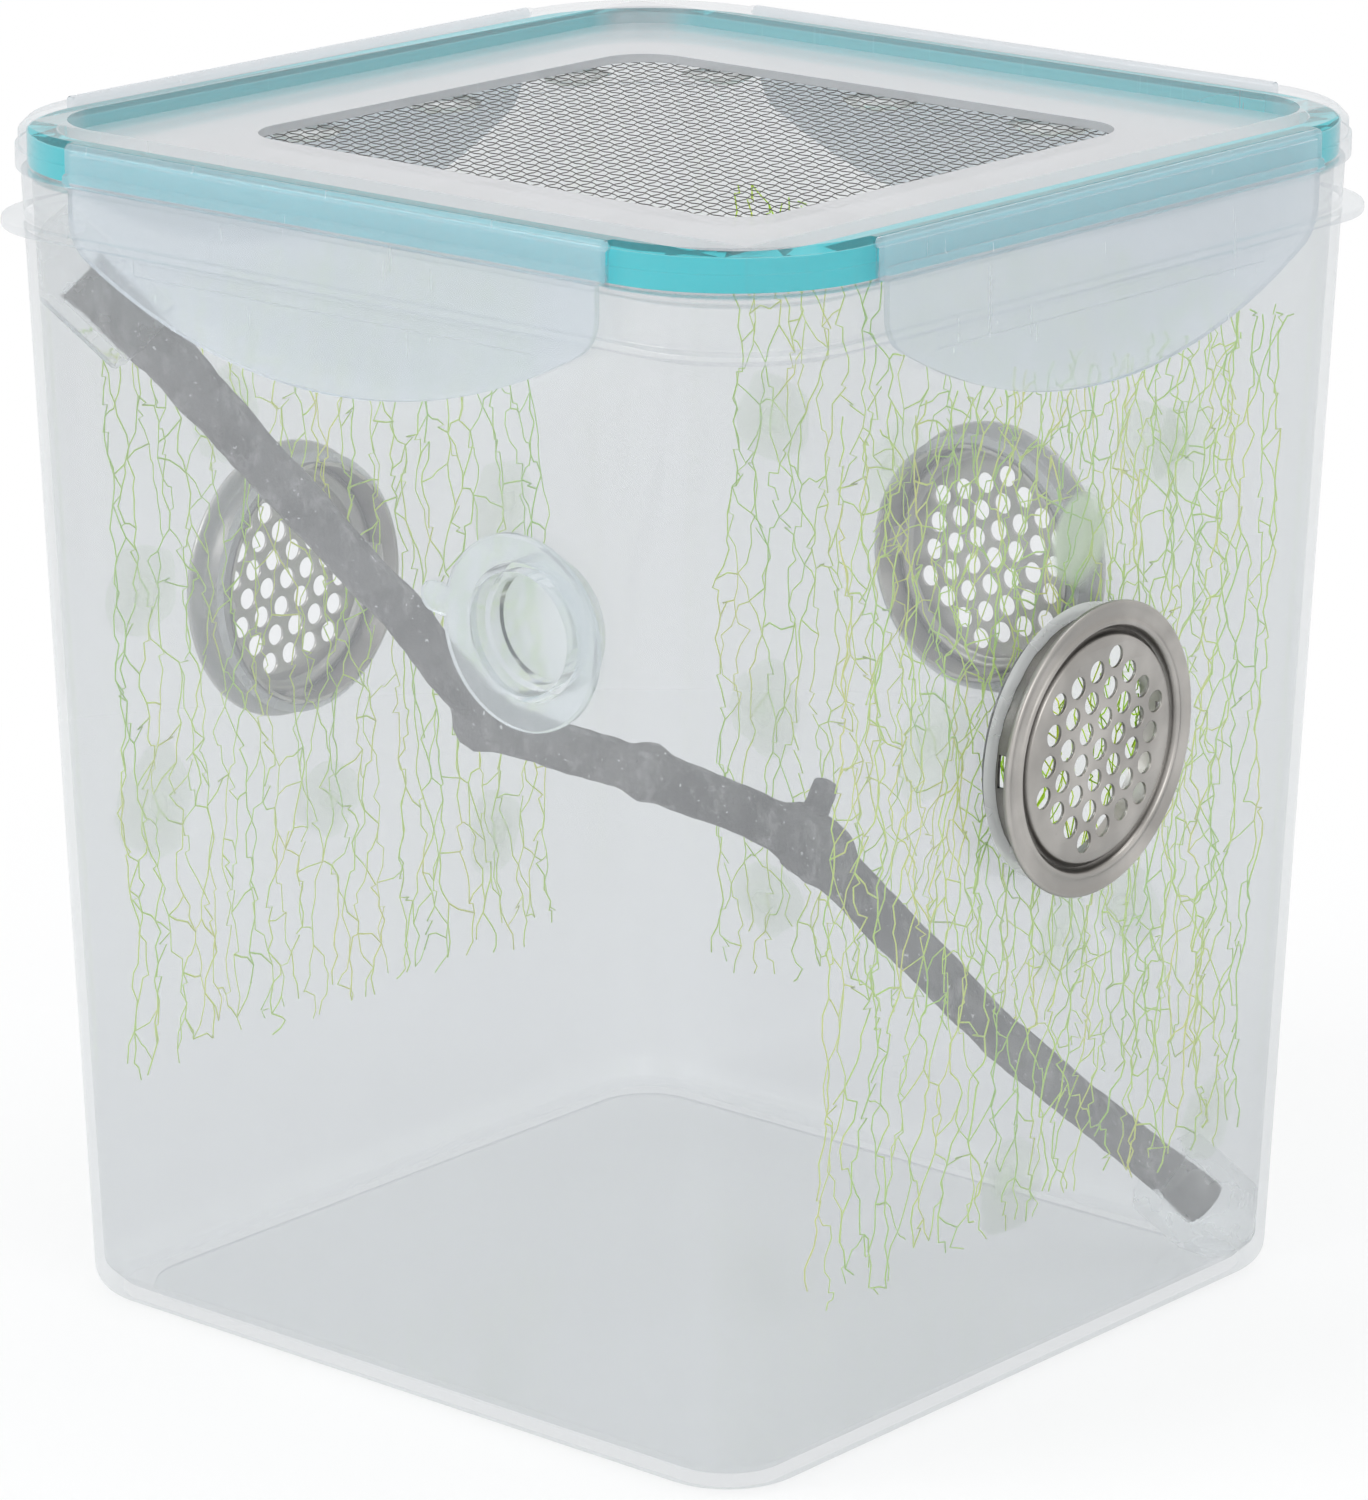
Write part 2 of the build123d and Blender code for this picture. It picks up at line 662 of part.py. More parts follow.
with BuildPart() as climbing_stick:
    for number, (share, offset, radius) in enumerate(stick_stations):
        with BuildSketch(stick_plane(stick_points[number], stick_heading(number))):
            RegularPolygon(radius, stick_sides)
    loft(ruled=True)
    stub_foot = stick_place(stub_share, stub_offset)
    stub_tilt = math.radians(stub_lean)
    stub_heading = diagonal * math.sin(stub_tilt) + Vector(0, 0, math.cos(stub_tilt))
    with BuildSketch(stick_plane(stub_foot, stub_heading)):
        RegularPolygon(stub_radius, stick_sides)
    extrude(amount=stub_length)
climbing_stick.part.label = "climbing_stick"
export_step(climbing_stick.part, "parts/climbing_stick.step")


def build_end_glue(number, heading, sizes):
    """Glue round one end of the stick, filling the corner of the container behind it."""
    length, beyond, radius = sizes
    end = stick_points[number]
    bore = stick_stations[number][2] + stick_glue_gap
    with BuildPart() as blob:
        with BuildSketch(stick_plane(end + heading * beyond, heading)):
            RegularPolygon(radius, stick_sides)
        extrude(amount=-length - beyond)
        with BuildSketch(stick_plane(end + heading * stick_glue_gap, heading)):
            RegularPolygon(bore, stick_sides)
        extrude(amount=-length - beyond, mode=Mode.SUBTRACT)
        add(cavity.part, mode=Mode.INTERSECT)
    return blob


stick_glue_top = build_end_glue(0, -stick_heading(0), top_glue)
stick_glue_top.part.label = "stick_glue_top"
export_step(stick_glue_top.part, "parts/stick_glue_top.step")

last_station = len(stick_stations) - 1
stick_glue_bottom = build_end_glue(last_station, stick_heading(last_station), bottom_glue)
stick_glue_bottom.part.label = "stick_glue_bottom"
export_step(stick_glue_bottom.part, "parts/stick_glue_bottom.step")
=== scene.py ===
import bmesh
import bpy
import math
import random
from mathutils import Matrix, Vector, noise


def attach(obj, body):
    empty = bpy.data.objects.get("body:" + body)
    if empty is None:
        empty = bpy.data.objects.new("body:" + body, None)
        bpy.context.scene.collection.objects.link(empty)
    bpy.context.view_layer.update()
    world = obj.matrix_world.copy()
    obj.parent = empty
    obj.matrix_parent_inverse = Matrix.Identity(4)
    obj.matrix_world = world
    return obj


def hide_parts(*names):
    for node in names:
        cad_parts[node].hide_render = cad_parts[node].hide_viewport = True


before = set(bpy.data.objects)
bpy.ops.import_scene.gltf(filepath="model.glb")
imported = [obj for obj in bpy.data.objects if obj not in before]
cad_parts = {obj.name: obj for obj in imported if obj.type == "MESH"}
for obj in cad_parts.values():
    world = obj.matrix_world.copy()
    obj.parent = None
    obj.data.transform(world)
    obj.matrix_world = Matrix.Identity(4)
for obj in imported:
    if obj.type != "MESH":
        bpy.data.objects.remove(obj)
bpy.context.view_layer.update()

# Sizes are in millimetres and turn into metres when a mesh is made
MM = 0.001
LEAN = math.radians(2.4)
WALL_ANGLES = {"right": 0, "back": 90, "left": 180, "front": 270}
WALL = 1.8
BASE_HALF = 82.1


def wall_half(height):
    """Half width over the outside of the walls."""
    return BASE_HALF + math.tan(LEAN) * height


def wall_frame(side, shift, height):
    """Turns a wall's own along, up and out into the object's place."""
    angle = math.radians(WALL_ANGLES[side])
    outward = Vector((math.cos(angle), math.sin(angle), 0))
    out = outward * math.cos(LEAN) - Vector((0, 0, math.sin(LEAN)))
    along = Vector((-math.sin(angle), math.cos(angle), 0))
    place = Matrix((along, out.cross(along), out)).transposed().to_4x4()
    place.translation = outward * wall_half(height) + along * shift + Vector((0, 0, height))
    return Matrix.Scale(MM, 4) @ place


# Camera: where it looks in millimetres, and how far off it stands in metres
CAMERA_TARGET = (-0.14, -0.15, 101.41)
CAMERA_DISTANCE = 1.19489
camera_data = bpy.data.cameras.new("camera")
camera_data.lens = 156.97
camera_data.sensor_width = 36
camera_data.clip_start = 0.05
camera_data.clip_end = 30
camera = bpy.data.objects.new("camera", camera_data)
bpy.context.scene.collection.objects.link(camera)
azimuth, elevation, roll = math.radians(40.29), math.radians(16.33), math.radians(0.2)
toward_camera = Vector((
    math.sin(azimuth) * math.cos(elevation),
    -math.cos(azimuth) * math.cos(elevation),
    math.sin(elevation),
))
camera_right = (-toward_camera).cross(Vector((0, 0, 1))).normalized()
camera_up = camera_right.cross(-toward_camera)
rolled_right = camera_right * math.cos(roll) + camera_up * math.sin(roll)
rolled_up = camera_up * math.cos(roll) - camera_right * math.sin(roll)
camera_place = Matrix((rolled_right, rolled_up, toward_camera)).transposed().to_4x4()
camera_place.translation = Vector(CAMERA_TARGET) * MM + toward_camera * CAMERA_DISTANCE
camera.matrix_world = camera_place
bpy.context.scene.camera = camera
bpy.context.scene.view_settings.view_transform = "Standard"


class Number:
    """A number on its way through a material's nodes. Arithmetic on it adds Math nodes."""

    def __init__(self, finish, socket):
        self.finish = finish
        self.socket = socket

    def math(self, operation, first, second=None):
        sockets = {0: first} if second is None else {0: first, 1: second}
        return self.finish.node("ShaderNodeMath", {"operation": operation}, sockets)

    def __add__(self, other):
        return self.math("ADD", self, other)

    __radd__ = __add__

    def __sub__(self, other):
        return self.math("SUBTRACT", self, other)

    def __mul__(self, other):
        return self.math("MULTIPLY", self, other)

    __rmul__ = __mul__

    def __pow__(self, other):
        return self.math("POWER", self, other)

    def clamped(self):
        return self.finish.node("ShaderNodeClamp", {}, {0: self})


class Finish:
    """A material or the world, with the nodes that make it."""

    def __init__(self, owner):
        self.owner = owner
        owner.use_nodes = True
        self.tree = owner.node_tree
        self.tree.nodes.clear()

    def node(self, kind, settings, sockets, output=0):
        """Adds a node: its settings first, then the values or links of its sockets."""
        made = self.tree.nodes.new(kind)
        for name, value in settings.items():
            if name == "stops":
                ramp = made.color_ramp
                while len(ramp.elements) < len(value):
                    ramp.elements.new(0.5)
                for element, (position, colour) in zip(ramp.elements, value):
                    element.position = position
                    element.color = (*colour, 1)
            else:
                setattr(made, name, value)
        for name, value in sockets.items():
            socket = made.inputs[name]
            if isinstance(value, Number):
                self.tree.links.new(value.socket, socket)
            elif hasattr(value, "__len__") and socket.type == "RGBA":
                socket.default_value = (*value, 1)
            else:
                socket.default_value = value
        return Number(self, made.outputs[output])

    def place(self):
        """Object coordinates, in metres."""
        return self.node("ShaderNodeTexCoord", {}, {}, "Object")

    def stretched(self, x, y, z):
        """Object coordinates drawn out by a factor on each axis."""
        return self.node("ShaderNodeMapping", {}, {"Vector": self.place(), "Scale": (x, y, z)})

    def grain(self, scale, detail=3.0, rough=0.5, vector=None):
        """Noise from 0 to 1."""
        spot = self.place() if vector is None else vector
        sockets = {"Vector": spot, "Scale": scale, "Detail": detail, "Roughness": rough}
        return self.node("ShaderNodeTexNoise", {}, sockets)

    def between(self, value, low, high):
        """0 under low, 1 over high and smooth between."""
        settings = {"interpolation_type": "SMOOTHSTEP"}
        return self.node("ShaderNodeMapRange", settings, {"Value": value, "From Min": low, "From Max": high})

    def blend(self, share, first, second):
        """Mix of two colours."""
        return self.node("ShaderNodeMix", {"data_type": "RGBA"}, {0: share, 6: first, 7: second}, 2)

    def bumps(self, height, distance, strength):
        """A normal bent by a height, whose full relief is the distance in metres."""
        sockets = {"Height": height, "Distance": distance, "Strength": strength}
        return self.node("ShaderNodeBump", {}, sockets)

    def shader(self, **values):
        """The Principled shader; a double underscore stands for a space."""
        sockets = {name.replace("__", " "): value for name, value in values.items()}
        return self.node("ShaderNodeBsdfPrincipled", {}, sockets)

    def mix(self, share, first, second):
        """Mix of two shaders."""
        return self.node("ShaderNodeMixShader", {}, {0: share, 1: first, 2: second})

    def out(self, shader):
        """Ends the tree at its output and gives back the material or world."""
        ends_world = isinstance(self.owner, bpy.types.World)
        kind = "ShaderNodeOutputWorld" if ends_world else "ShaderNodeOutputMaterial"
        surface = self.tree.nodes.new(kind).inputs["Surface"]
        self.tree.links.new(shader.socket, surface)
        return self.owner


def new_finish(name):
    """The finish of a new material."""
    return Finish(bpy.data.materials.new(name))


def lets_lamps_through(finish, shader, colour):
    """Lamps reach what is behind the plastic, dimmed by its colour."""
    passing = finish.node("ShaderNodeLightPath", {}, {}, "Is Shadow Ray")
    through = finish.node("ShaderNodeBsdfTransparent", {}, {"Color": colour})
    return finish.mix(passing, shader, through)


def milky_wall(name, colour, tint, haze, shine):
    """Thin moulded polypropylene: straight see-through, clouded, whiter where it is seen edge on."""
    finish = new_finish(name)
    flow = finish.grain(16.0, 1.0)
    scratches = finish.grain(9.0, 2.0, 0.7, finish.stretched(70, 70, 3))
    scuffs = finish.between(scratches, 0.64, 0.74)
    relief = finish.bumps(flow, 0.0005, 0.2)
    cloud = finish.shader(
        Base__Color=finish.blend(flow, colour, [part * 0.95 for part in colour]),
        Roughness=0.55,
        Normal=relief,
    )
    clear = finish.node("ShaderNodeBsdfTransparent", {}, {"Color": tint})
    facing = finish.node("ShaderNodeLayerWeight", {}, {"Blend": 0.5}, "Facing")
    share = haze(finish) * (0.9 + 0.2 * flow) + 0.03 * scuffs + 0.3 * facing ** 4.0
    gloss = {"Roughness": shine, "Color": (1, 1, 1), "Normal": relief}
    skin = finish.node("ShaderNodeBsdfGlossy", {}, gloss)
    glance = 0.03 + 0.7 * facing ** 5.0
    seen = finish.mix(glance.clamped(), finish.mix(share.clamped(), clear, cloud), skin)
    return finish.out(lets_lamps_through(finish, seen, [part * 0.88 for part in tint]))


def soft_plastic(name, colour, clear, rough, haze):
    """Moulded polypropylene in thin snap parts, with flow marks and fine scratches."""
    finish = new_finish(name)
    flow = finish.grain(22.0, 3.0)
    scratches = finish.grain(9.0, 4.0, 0.7, finish.stretched(60, 60, 3))
    scuffs = finish.between(scratches, 0.62, 0.75)
    surface = finish.shader(
        Base__Color=finish.blend(flow, colour, [min(1, part * 1.04) for part in colour]),
        Roughness=(rough + 0.04 * flow + 0.08 * scuffs).clamped(),
        IOR=1.08,
        Transmission__Weight=clear,
        Coat__Weight=0.5,
        Coat__Roughness=0.12,
        Normal=finish.bumps(flow + 0.3 * scratches, 0.0004, 0.15),
    )
    return finish.out(lets_lamps_through(finish, surface, haze))


WALL_HAZE = 0.14
RIM_HAZE = 0.04
PANEL_HAZE = 0.42
# Reach of the sunk panel from the middle, in metres: where its haze ends and where it is full
PANEL_REACH = (0.083, 0.0815)


def even_cloud(finish):
    """Haze of the walls, the same all over."""
    return WALL_HAZE


def panel_cloud(finish):
    """Haze of the lid: clearer at its rim, whiter over the sunk panel."""
    reaches = []
    for axis in ("X", "Y"):
        part = finish.node("ShaderNodeSeparateXYZ", {}, {"Vector": finish.place()}, axis)
        reaches.append(finish.node("ShaderNodeMath", {"operation": "ABSOLUTE"}, {0: part}))
    farther = finish.node("ShaderNodeMath", {"operation": "MAXIMUM"}, {0: reaches[0], 1: reaches[1]})
    return RIM_HAZE + PANEL_HAZE * finish.between(farther, *PANEL_REACH)


def silicone(name, colour, dark):
    """Soft seal rubber."""
    finish = new_finish(name)
    mottle = finish.grain(90.0, 3.0)
    surface = finish.shader(
        Base__Color=finish.blend(mottle, colour, dark),
        Roughness=0.4 + 0.12 * mottle,
        Normal=finish.bumps(finish.grain(900.0, 2.0), 0.0001, 0.2),
    )
    return finish.out(surface)


def pressed_steel(name, colour):
    """Brushed stainless sheet with fine scratches, a few dull spots and painted shade darkening its grooves
    and recesses.
    """
    finish = new_finish(name)
    brushing = finish.grain(420.0, 3.0, 0.6, finish.stretched(1, 1, 0.06))
    clouds = finish.grain(60.0, 3.0)
    spots = finish.between(finish.grain(700.0, 1.0), 0.72, 0.8)
    # Painted shade: where the AO node finds a groove or recess within 5 mm, the colour turns nearly black
    painted_groove_shade = finish.node("ShaderNodeAmbientOcclusion", {"samples": 4}, {"Distance": 0.005}, "AO")
    plain = finish.blend(finish.between(clouds, 0.3, 0.7), colour, [part * 0.66 for part in colour])
    surface = finish.shader(
        # Painted shade: the near-black colour is taken where the surface is hemmed in, the plain steel
        # elsewhere
        Base__Color=finish.blend(finish.between(painted_groove_shade, 0.3, 0.92), (0.03, 0.028, 0.026), plain),
        Metallic=1.0,
        Roughness=(0.2 + 0.16 * brushing + 0.1 * clouds + 0.2 * spots).clamped(),
        Normal=finish.bumps(brushing, 0.00003, 0.35),
    )
    return finish.out(surface)


def wire(name, colour, worn):
    """Dull wire, darker where it is dirty."""
    finish = new_finish(name)
    dirt = finish.grain(120.0, 4.0)
    surface = finish.shader(
        Base__Color=finish.blend(dirt, colour, worn),
        Metallic=0.6,
        Roughness=0.42 + 0.25 * dirt,
    )
    return finish.out(surface)


def thread(name, stops):
    """Dyed net thread, its colour drifting from strand to strand."""
    finish = new_finish(name)
    drift = finish.grain(55.0, 3.0, 0.6, finish.stretched(1.6, 1.6, 0.5))
    colour = finish.node("ShaderNodeValToRGB", {"stops": stops}, {0: finish.between(drift, 0.3, 0.7)})
    surface = finish.shader(
        Base__Color=colour,
        Roughness=0.55 + 0.2 * drift,
        Sheen__Weight=0.2,
        Normal=finish.bumps(finish.grain(1600.0, 2.0), 0.0001, 0.4),
    )
    return finish.out(surface)


def melted_glue(name, colour, clear, gloss, grainy=0.0, soft_edge=False):
    """Hot-melt glue, clouded; a patch that thins out fades towards its edge."""
    finish = new_finish(name)
    cloud = finish.grain(110.0, 3.0)
    lumps = finish.grain(700.0, 2.0, 0.6)
    surface = finish.shader(
        Base__Color=finish.blend(finish.between(cloud, 0.3, 0.7), colour, [part * 0.93 for part in colour]),
        Roughness=(0.12 + 0.3 * cloud).clamped(),
        IOR=1.05,
        Transmission__Weight=clear,
        Coat__Weight=gloss,
        Coat__Roughness=0.2,
        Normal=finish.bumps(cloud + grainy * lumps, 0.0004, 0.12 + grainy),
    )
    if soft_edge:
        depth = finish.node("ShaderNodeAttribute", {"attribute_name": "depth"}, {}, "Fac")
        clear_film = finish.node("ShaderNodeBsdfTransparent", {}, {"Color": (0.97, 0.99, 0.96)})
        film = 0.92 * finish.between(depth * (0.5 + cloud), 0.0, 1.0)
        surface = finish.mix(film, clear_film, surface)
    return finish.out(lets_lamps_through(finish, surface, (0.93, 0.95, 0.92)))


def dry_bark(name):
    """Weathered grey bark: fibres along the branch, pale flecks and dark pits."""
    finish = new_finish(name)
    fibres = finish.grain(330.0, 5.0, 0.65, finish.stretched(1.0, 1.0, 0.35))
    mottle = finish.grain(70.0, 5.0, 0.6)
    flecks = finish.between(finish.grain(900.0, 2.0, 0.6), 0.66, 0.74)
    pits = finish.between(finish.grain(260.0, 3.0, 0.7), 0.34, 0.24)
    ground = finish.blend(finish.between(mottle, 0.35, 0.65), (0.022, 0.021, 0.022), (0.14, 0.134, 0.134))
    fibred = finish.blend(0.7 * finish.between(fibres, 0.48, 0.7), ground, (0.3, 0.29, 0.29))
    flecked = finish.blend(0.8 * flecks, fibred, (0.66, 0.66, 0.66))
    surface = finish.shader(
        Base__Color=finish.blend(0.6 * pits, flecked, (0.04, 0.036, 0.035)),
        Roughness=0.78 + 0.15 * mottle,
        Normal=finish.bumps(fibres + 0.8 * mottle - 0.5 * pits, 0.0009, 0.6),
    )
    return finish.out(surface)


walls = milky_wall("frosted_wall", (0.83, 0.845, 0.86), (0.928, 0.934, 0.94), even_cloud, 0.12)
lid_plastic = milky_wall("lid_plastic", (0.6, 0.605, 0.62), (0.925, 0.93, 0.94), panel_cloud, 0.14)
latch_plastic = soft_plastic("latch_plastic", (0.77, 0.805, 0.835), 0.81, 0.2, (0.9, 0.92, 0.93))
plug_plastic = soft_plastic("plug_plastic", (0.83, 0.86, 0.875), 0.84, 0.12, (0.84, 0.87, 0.88))
teal_seal = silicone("teal_seal", (0.003, 0.76, 0.81), (0.003, 0.69, 0.74))
steel = pressed_steel("vent_steel", (0.53, 0.505, 0.475))
mesh_wire = wire("mesh_wire", (0.13, 0.125, 0.12), (0.07, 0.062, 0.055))
net_greens = [(0.0, (0.34, 0.72, 0.0)), (0.5, (0.56, 0.86, 0.01)), (1.0, (0.8, 0.84, 0.06))]
net_thread = thread("net_thread", net_greens)
clear_glue = melted_glue("clear_glue", (0.94, 0.95, 0.945), 0.5, 0.3, grainy=0.3)
net_glue = melted_glue("net_glue", (0.88, 0.99, 0.76), 0.0, 0.05, soft_edge=True)
end_glue = melted_glue("end_glue", (0.96, 0.97, 0.97), 0.97, 0.06)
bark = dry_bark("dry_bark")


def add_piece(name, points, faces, body, material, slot, replaced, place=Matrix.Scale(MM, 4)):
    """A new smooth mesh piece that rides on a body and stands for CAD nodes."""
    mesh = bpy.data.meshes.new(name)
    mesh.from_pydata([place @ Vector(point) for point in points], [], faces)
    mesh.update()
    mesh.polygons.foreach_set("use_smooth", [True] * len(mesh.polygons))
    mesh.materials.append(material)
    piece = bpy.data.objects.new(name, mesh)
    bpy.context.scene.collection.objects.link(piece)
    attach(piece, body)
    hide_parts(*replaced)
    return piece


SHARP = math.radians(32)
FLAT = math.radians(0.6)
# Corners closer than this are one corner, in metres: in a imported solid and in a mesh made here
MERGE_PACKED = 0.000002
MERGE_MADE = 0.000001


def moulding(node, name, body, material, edge):
    """A moulded part's own form with its edges eased, or left as they are for an edge of 0."""
    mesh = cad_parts[node].data.copy()
    mesh.name = name
    form = bmesh.new()
    form.from_mesh(mesh)
    bmesh.ops.remove_doubles(form, verts=form.verts, dist=MERGE_PACKED)
    bmesh.ops.dissolve_limit(form, angle_limit=FLAT, verts=form.verts, edges=form.edges)
    for face in form.faces:
        face.smooth = True
    for side in form.edges:
        side.smooth = not (side.is_manifold and side.calc_face_angle() > SHARP)
    form.to_mesh(mesh)
    form.free()
    if "custom_normal" in mesh.attributes:
        mesh.attributes.remove(mesh.attributes["custom_normal"])
    mesh.materials.clear()
    mesh.materials.append(material)
    piece = bpy.data.objects.new(name, mesh)
    bpy.context.scene.collection.objects.link(piece)
    if edge:
        easing = piece.modifiers.new("eased edges", "BEVEL")
        easing.width = edge * MM
        easing.segments = 2
        easing.limit_method = "ANGLE"
        easing.angle_limit = SHARP
        easing.harden_normals = True
    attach(piece, body)
    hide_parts(node)
    return piece


def tube(points, radii, sides):
    """Rings of a tube along points, with closed ends."""
    places = [Vector(point) for point in points]
    rings, faces = [], []
    for number, place in enumerate(places):
        before = places[max(number - 1, 0)]
        after = places[min(number + 1, len(places) - 1)]
        heading = (after - before).normalized()
        level = heading.orthogonal() if abs(heading.z) > 0.999 else heading.cross(Vector((0, 0, 1)))
        level.normalize()
        upright = level.cross(heading)
        radius = radii[number] if hasattr(radii, "__len__") else radii
        for side in range(sides):
            turn = 2 * math.pi * side / sides
            rings.append(place + (level * math.cos(turn) + upright * math.sin(turn)) * radius)
    for number in range(len(places) - 1):
        for side in range(sides):
            low, high = number * sides, (number + 1) * sides
            after = (side + 1) % sides
            faces.append((low + side, low + after, high + after, high + side))
    faces.append(tuple(range(sides - 1, -1, -1)))
    faces.append(tuple(range((len(places) - 1) * sides, len(places) * sides)))
    return rings, faces


def gather(parts):
    """Joins lists of points and faces."""
    points, faces = [], []
    for more, sides in parts:
        base = len(points)
        points.extend(more)
        faces.extend(tuple(corner + base for corner in side) for side in sides)
    return points, faces


# Container, lid, latches, seal and plug
moulding("container", "container_walls", "box", walls, 0.3)
moulding("lid", "lid_moulding", "cover", lid_plastic, 0.3)
moulding("seal_ring", "seal_moulding", "cover", teal_seal, 0.2)
for side in WALL_ANGLES:
    moulding(f"latch_{side}", f"latch_{side}_moulding", f"flap_{side}", latch_plastic, 0.2)
moulding("feeding_plug", "plug_moulding", "plug", plug_plastic, 0.25)


# Vents: each wall's shift along it, height and turn of the holes in degrees
VENT_PLACES = {"right": (1.0, 119.5, -11), "back": (1.0, 119.5, 8), "left": (7.5, 119.5, 20)}
VENT_STEPS = 144
SLOT_STEPS = 6
SLOT_OUTER = (23.0, 5.0)
SLOT_INNER = (22.3, 1.6)
# Radius and height out of the wall: groove, ridge, rolled edge, skirt and back up inside it
VENT_PROFILE = (
    (19.6, 6.3), (20.15, 6.26), (20.45, 6.0), (20.65, 5.55), (20.9, 5.15), (21.3, 5.0), (21.65, 5.2),
    (21.9, 5.7), (22.1, 6.3), (22.4, 6.62), (22.8, 6.64), (23.15, 6.42), (23.45, 6.2), (24.3, 6.16),
    (25.4, 6.3), (25.9, 6.55), (26.25, 6.5), (26.47, 6.25), (26.5, 5.9), (26.42, 5.55), (26.15, 5.32),
    (25.8, 5.3), (24.2, 5.3), (23.3, 5.25), (23.05, 5.1), SLOT_OUTER, (23.0, 1.6), (23.0, -1.75),
    (22.65, -1.85), (22.3, -1.75), SLOT_INNER, (22.3, 4.9), (22.1, 4.7), (21.6, 4.45), (21.0, 4.45),
    (20.4, 4.9), (20.1, 5.4), (19.6, 5.6),
)
PLATE_RADIUS = 19.95
PLATE_LEVEL = 5.95
HOLE_PITCH = 5.5
HOLE_RADIUS = 2.0


def vent_shell():
    """Revolved rim, ridge and skirt, with four slots through the skirt."""
    count = len(VENT_PROFILE)
    points = []
    for step in range(VENT_STEPS):
        turn = 2 * math.pi * step / VENT_STEPS
        across, along = math.cos(turn), math.sin(turn)
        points.extend((radius * across, radius * along, out) for radius, out in VENT_PROFILE)
    outer = VENT_PROFILE.index(SLOT_OUTER)
    inner = VENT_PROFILE.index(SLOT_INNER)
    quarter = VENT_STEPS // 4
    faces = []
    for step in range(VENT_STEPS):
        here, there = step * count, (step + 1) % VENT_STEPS * count
        slot_step = (step + SLOT_STEPS // 2) % quarter
        in_slot = slot_step < SLOT_STEPS
        for ring in range(count - 1):
            if in_slot and ring in (outer, inner):
                continue
            faces.append((here + ring, there + ring, there + ring + 1, here + ring + 1))
        if in_slot:
            faces.append((here + outer, there + outer, there + inner + 1, here + inner + 1))
            faces.append((there + outer + 1, here + outer + 1, here + inner, there + inner))
        starts = slot_step == 0
        ends = slot_step == SLOT_STEPS
        if starts or ends:
            edge = (here + outer, here + outer + 1, here + inner, here + inner + 1)
            faces.append(edge if starts else edge[::-1])
    return points, faces


def vent_plate(turn):
    """The panel with its 37 round holes, as a filled outline with rounded edges."""
    outline = bpy.data.curves.new("vent panel", "CURVE")
    outline.dimensions = "2D"
    outline.fill_mode = "BOTH"
    outline.extrude = 0.22
    outline.bevel_depth = 0.13
    outline.bevel_resolution = 1
    outline.offset = -0.13

    def ring(x, y, radius, corners):
        spline = outline.splines.new("POLY")
        spline.points.add(corners - 1)
        spline.use_cyclic_u = True
        for number, point in enumerate(spline.points):
            angle = 2 * math.pi * number / corners
            point.co = (x + radius * math.cos(angle), y + radius * math.sin(angle), 0, 1)

    ring(0, 0, PLATE_RADIUS, VENT_STEPS)
    cosine, sine = math.cos(math.radians(turn)), math.sin(math.radians(turn))
    for row in range(-3, 4):
        for column in range(7 - abs(row)):
            x = row * HOLE_PITCH * math.sin(math.radians(60))
            y = (column - (6 - abs(row)) / 2) * HOLE_PITCH
            ring(x * cosine - y * sine, x * sine + y * cosine, HOLE_RADIUS, 28)
    plate = bpy.data.objects.new("vent panel", outline)
    bpy.context.scene.collection.objects.link(plate)
    bpy.context.view_layer.update()
    mesh = bpy.data.meshes.new_from_object(plate.evaluated_get(bpy.context.evaluated_depsgraph_get()))
    points = [(*corner.co.xy, corner.co.z + PLATE_LEVEL) for corner in mesh.vertices]
    faces = [tuple(face.vertices) for face in mesh.polygons]
    bpy.data.objects.remove(plate)
    bpy.data.meshes.remove(mesh)
    return points, faces


def shade_by_angle(piece, angle):
    """Smooth, with sharp edges where the surface turns by more than an angle."""
    form = bmesh.new()
    form.from_mesh(piece.data)
    bmesh.ops.remove_doubles(form, verts=form.verts, dist=MERGE_MADE)
    bmesh.ops.recalc_face_normals(form, faces=form.faces)
    for side in form.edges:
        side.smooth = not (side.is_manifold and side.calc_face_angle() > math.radians(angle))
    form.to_mesh(piece.data)
    form.free()


for side, (shift, height, turn) in VENT_PLACES.items():
    shell = gather([vent_shell(), vent_plate(turn)])
    name, place = f"vent_{side}_pressing", wall_frame(side, shift, height)
    vent = add_piece(name, *shell, "box", steel, "vent_steel", ["vents"], place)
    shade_by_angle(vent, 50)


# Glue round the vents
BEAD_STEPS = 160
BEAD_PROFILE = ((23.05, 1.25), (23.4, 1.2), (23.9, 0.85), (24.5, 0.45), (24.9, 0.05), (23.05, 0.05))


def glue_ring(seed):
    """An uneven bead in the corner between skirt and wall."""
    points, faces = [], []
    for step in range(BEAD_STEPS):
        turn = 2 * math.pi * step / BEAD_STEPS
        spot = Vector((math.cos(turn) * 3, math.sin(turn) * 3, seed))
        swell = noise.noise(spot * 2.3) * 0.25 + noise.noise(spot * 5) * 0.1
        for radius, out in BEAD_PROFILE:
            free = 0 if out < 0.1 else swell
            reach = radius if radius < 23.1 else radius + free
            points.append((reach * math.cos(turn), reach * math.sin(turn), max(0.05, out + free)))
    count = len(BEAD_PROFILE)
    for step in range(BEAD_STEPS):
        here, there = step * count, (step + 1) % BEAD_STEPS * count
        for ring in range(count):
            after = (ring + 1) % count
            faces.append((here + ring, there + ring, there + after, here + after))
    return points, faces


for number, (side, (shift, height, turn)) in enumerate(VENT_PLACES.items()):
    name, place = f"vent_{side}_glue_bead", wall_frame(side, shift, height)
    bead = add_piece(name, *glue_ring(number * 5.0), "box", clear_glue, "hot_glue", ["vent_glue"], place)
    shade_by_angle(bead, 60)


